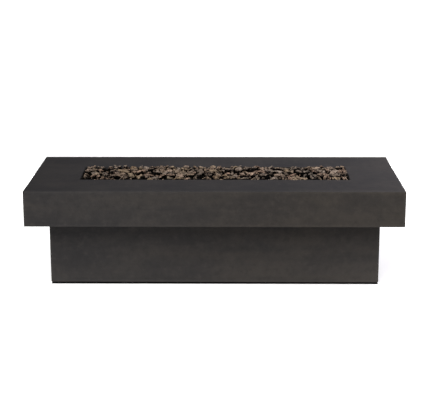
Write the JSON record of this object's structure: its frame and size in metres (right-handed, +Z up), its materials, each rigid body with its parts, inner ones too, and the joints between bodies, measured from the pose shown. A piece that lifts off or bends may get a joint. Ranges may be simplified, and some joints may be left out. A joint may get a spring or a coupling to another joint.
{
  "type": "fire pit table",
  "caption": "Low rectangular cast-concrete gas fire pit table with a long lava-rock trough, a smaller plinth and rear service door.",
  "frame": {"origin": "on the floor under the middle of the table", "axes": "+X along the table's length, +Y to the rear service side, +Z up"},
  "size_m": [1.524, 0.6604, 0.4318],
  "materials": {
    "charcoal_concrete": "matte cast, sealed",
    "lava_rock": "rough, pitted",
    "frame_steel": "powder coat",
    "dark_coated_steel": "matte powder coat",
    "stainless": "brushed",
    "zinc_steel": "zinc plated",
    "brass": "machined",
    "cast_aluminium": "cast",
    "silicone": "matte",
    "ceramic": "glazed",
    "black_plastic": "moulded",
    "lead_jacket": "silicone jacket",
    "copper_lead": "bare copper",
    "battery_can": "plain sleeve"
  },
  "bodies": {
    "root": {"tabletop_casting": "charcoal_concrete", "base_casting": "charcoal_concrete", "lower_frame_ring": "frame_steel", "upper_frame_ring": "frame_steel", "frame_posts": "frame_steel", "base_inserts": "brass", "base_bolts": "zinc_steel", "frame_washers": "zinc_steel", "tabletop_pads": "silicone", "tabletop_inserts": "brass", "tabletop_bolts": "zinc_steel", "foot_nuts": "zinc_steel", "burner_pan": "stainless", "burner_manifold": "stainless", "burner_supports": "stainless", "burner_screws": "zinc_steel", "inlet_nipple": "zinc_steel", "pipe_locknuts": "brass", "air_mixer": "cast_aluminium", "orifice_spud": "brass", "burner_supply_tube": "stainless", "flare_nuts": "brass", "pilot_shield": "stainless", "electrode_insulator": "ceramic", "electrode_rod": "stainless", "thermocouple_tip": "stainless", "ignition_lead": "lead_jacket", "thermocouple_lead": "copper_lead", "lead_clips": "stainless", "gas_valve_body": "cast_aluminium", "control_panel": "stainless", "cover_screws": "zinc_steel", "igniter_housing": "black_plastic", "igniter_nut": "zinc_steel", "igniter_battery": "battery_can", "gas_inlet_fitting": "brass", "gas_inlet_tube": "stainless", "door_hinge_fixed_leaves": "stainless", "door_hinge_pins": "stainless", "door_catch": "black_plastic", "vent_grilles": "dark_coated_steel", "lava_rocks_lower": "lava_rock", "lava_rocks_top": "lava_rock"},
    "foot_front_left": {"foot_pad_front_left": "zinc_steel"},
    "stem_front_left": {"foot_stem_front_left": "zinc_steel"},
    "foot_front_right": {"foot_pad_front_right": "zinc_steel"},
    "stem_front_right": {"foot_stem_front_right": "zinc_steel"},
    "foot_rear_left": {"foot_pad_rear_left": "zinc_steel"},
    "stem_rear_left": {"foot_stem_rear_left": "zinc_steel"},
    "foot_rear_right": {"foot_pad_rear_right": "zinc_steel"},
    "stem_rear_right": {"foot_stem_rear_right": "zinc_steel"},
    "shutter": {"air_shutter": "cast_aluminium"},
    "plunger": {"valve_plunger": "cast_aluminium"},
    "knob": {"valve_stem": "zinc_steel", "control_knob": "black_plastic"},
    "button": {"igniter_button": "black_plastic"},
    "door": {"access_door": "dark_coated_steel", "door_hinge_moving_leaves": "stainless", "hinge_door_screws": "zinc_steel", "door_pull": "stainless"}
  },
  "joints": [
    {"name": "foot_lift_front_left", "type": "slide", "parent": "root", "child": "foot_front_left", "axis": [0, 0, -1], "range_m": [0, 0.012]},
    {"name": "foot_turn_front_left", "type": "hinge", "parent": "foot_front_left", "child": "stem_front_left", "pos_m": [-0.56, -0.192, 0.03], "axis": [0, 0, -1], "range_deg": [0, 2469]},
    {"name": "foot_lift_front_right", "type": "slide", "parent": "root", "child": "foot_front_right", "axis": [0, 0, -1], "range_m": [0, 0.012]},
    {"name": "foot_turn_front_right", "type": "hinge", "parent": "foot_front_right", "child": "stem_front_right", "pos_m": [0.56, -0.192, 0.03], "axis": [0, 0, -1], "range_deg": [0, 2469]},
    {"name": "foot_lift_rear_left", "type": "slide", "parent": "root", "child": "foot_rear_left", "axis": [0, 0, -1], "range_m": [0, 0.012]},
    {"name": "foot_turn_rear_left", "type": "hinge", "parent": "foot_rear_left", "child": "stem_rear_left", "pos_m": [-0.56, 0.192, 0.03], "axis": [0, 0, -1], "range_deg": [0, 2469]},
    {"name": "foot_lift_rear_right", "type": "slide", "parent": "root", "child": "foot_rear_right", "axis": [0, 0, -1], "range_m": [0, 0.012]},
    {"name": "foot_turn_rear_right", "type": "hinge", "parent": "foot_rear_right", "child": "stem_rear_right", "pos_m": [0.56, 0.192, 0.03], "axis": [0, 0, -1], "range_deg": [0, 2469]},
    {"name": "shutter_turn", "type": "hinge", "parent": "root", "child": "shutter", "pos_m": [0, 0, 0.268], "axis": [0, 0, 1], "range_deg": [0, 90]},
    {"name": "knob_push", "type": "slide", "parent": "root", "child": "plunger", "axis": [0, -1, 0], "range_m": [0, 0.004], "stiffness_N_per_m": 500, "springref_m": -0.008},
    {"name": "knob_turn", "type": "hinge", "parent": "plunger", "child": "knob", "pos_m": [0.37, 0.26, 0.15], "axis": [0, 1, 0], "range_deg": [0, 180]},
    {"name": "igniter_push", "type": "slide", "parent": "root", "child": "button", "axis": [0, -1, 0], "range_m": [0, 0.0035], "stiffness_N_per_m": 600, "springref_m": -0.006},
    {"name": "door_swing", "type": "hinge", "parent": "root", "child": "door", "pos_m": [-0.4985, 0.2453, 0.153], "axis": [0, 0, 1], "range_deg": [0, 110]}
  ],
  "couplings": [
    {"joint": "foot_turn_front_left", "follows": "foot_lift_front_left", "rad_per_m": 3590.4},
    {"joint": "foot_turn_front_right", "follows": "foot_lift_front_right", "rad_per_m": 3590.4},
    {"joint": "foot_turn_rear_left", "follows": "foot_lift_rear_left", "rad_per_m": 3590.4},
    {"joint": "foot_turn_rear_right", "follows": "foot_lift_rear_right", "rad_per_m": 3590.4}
  ]
}
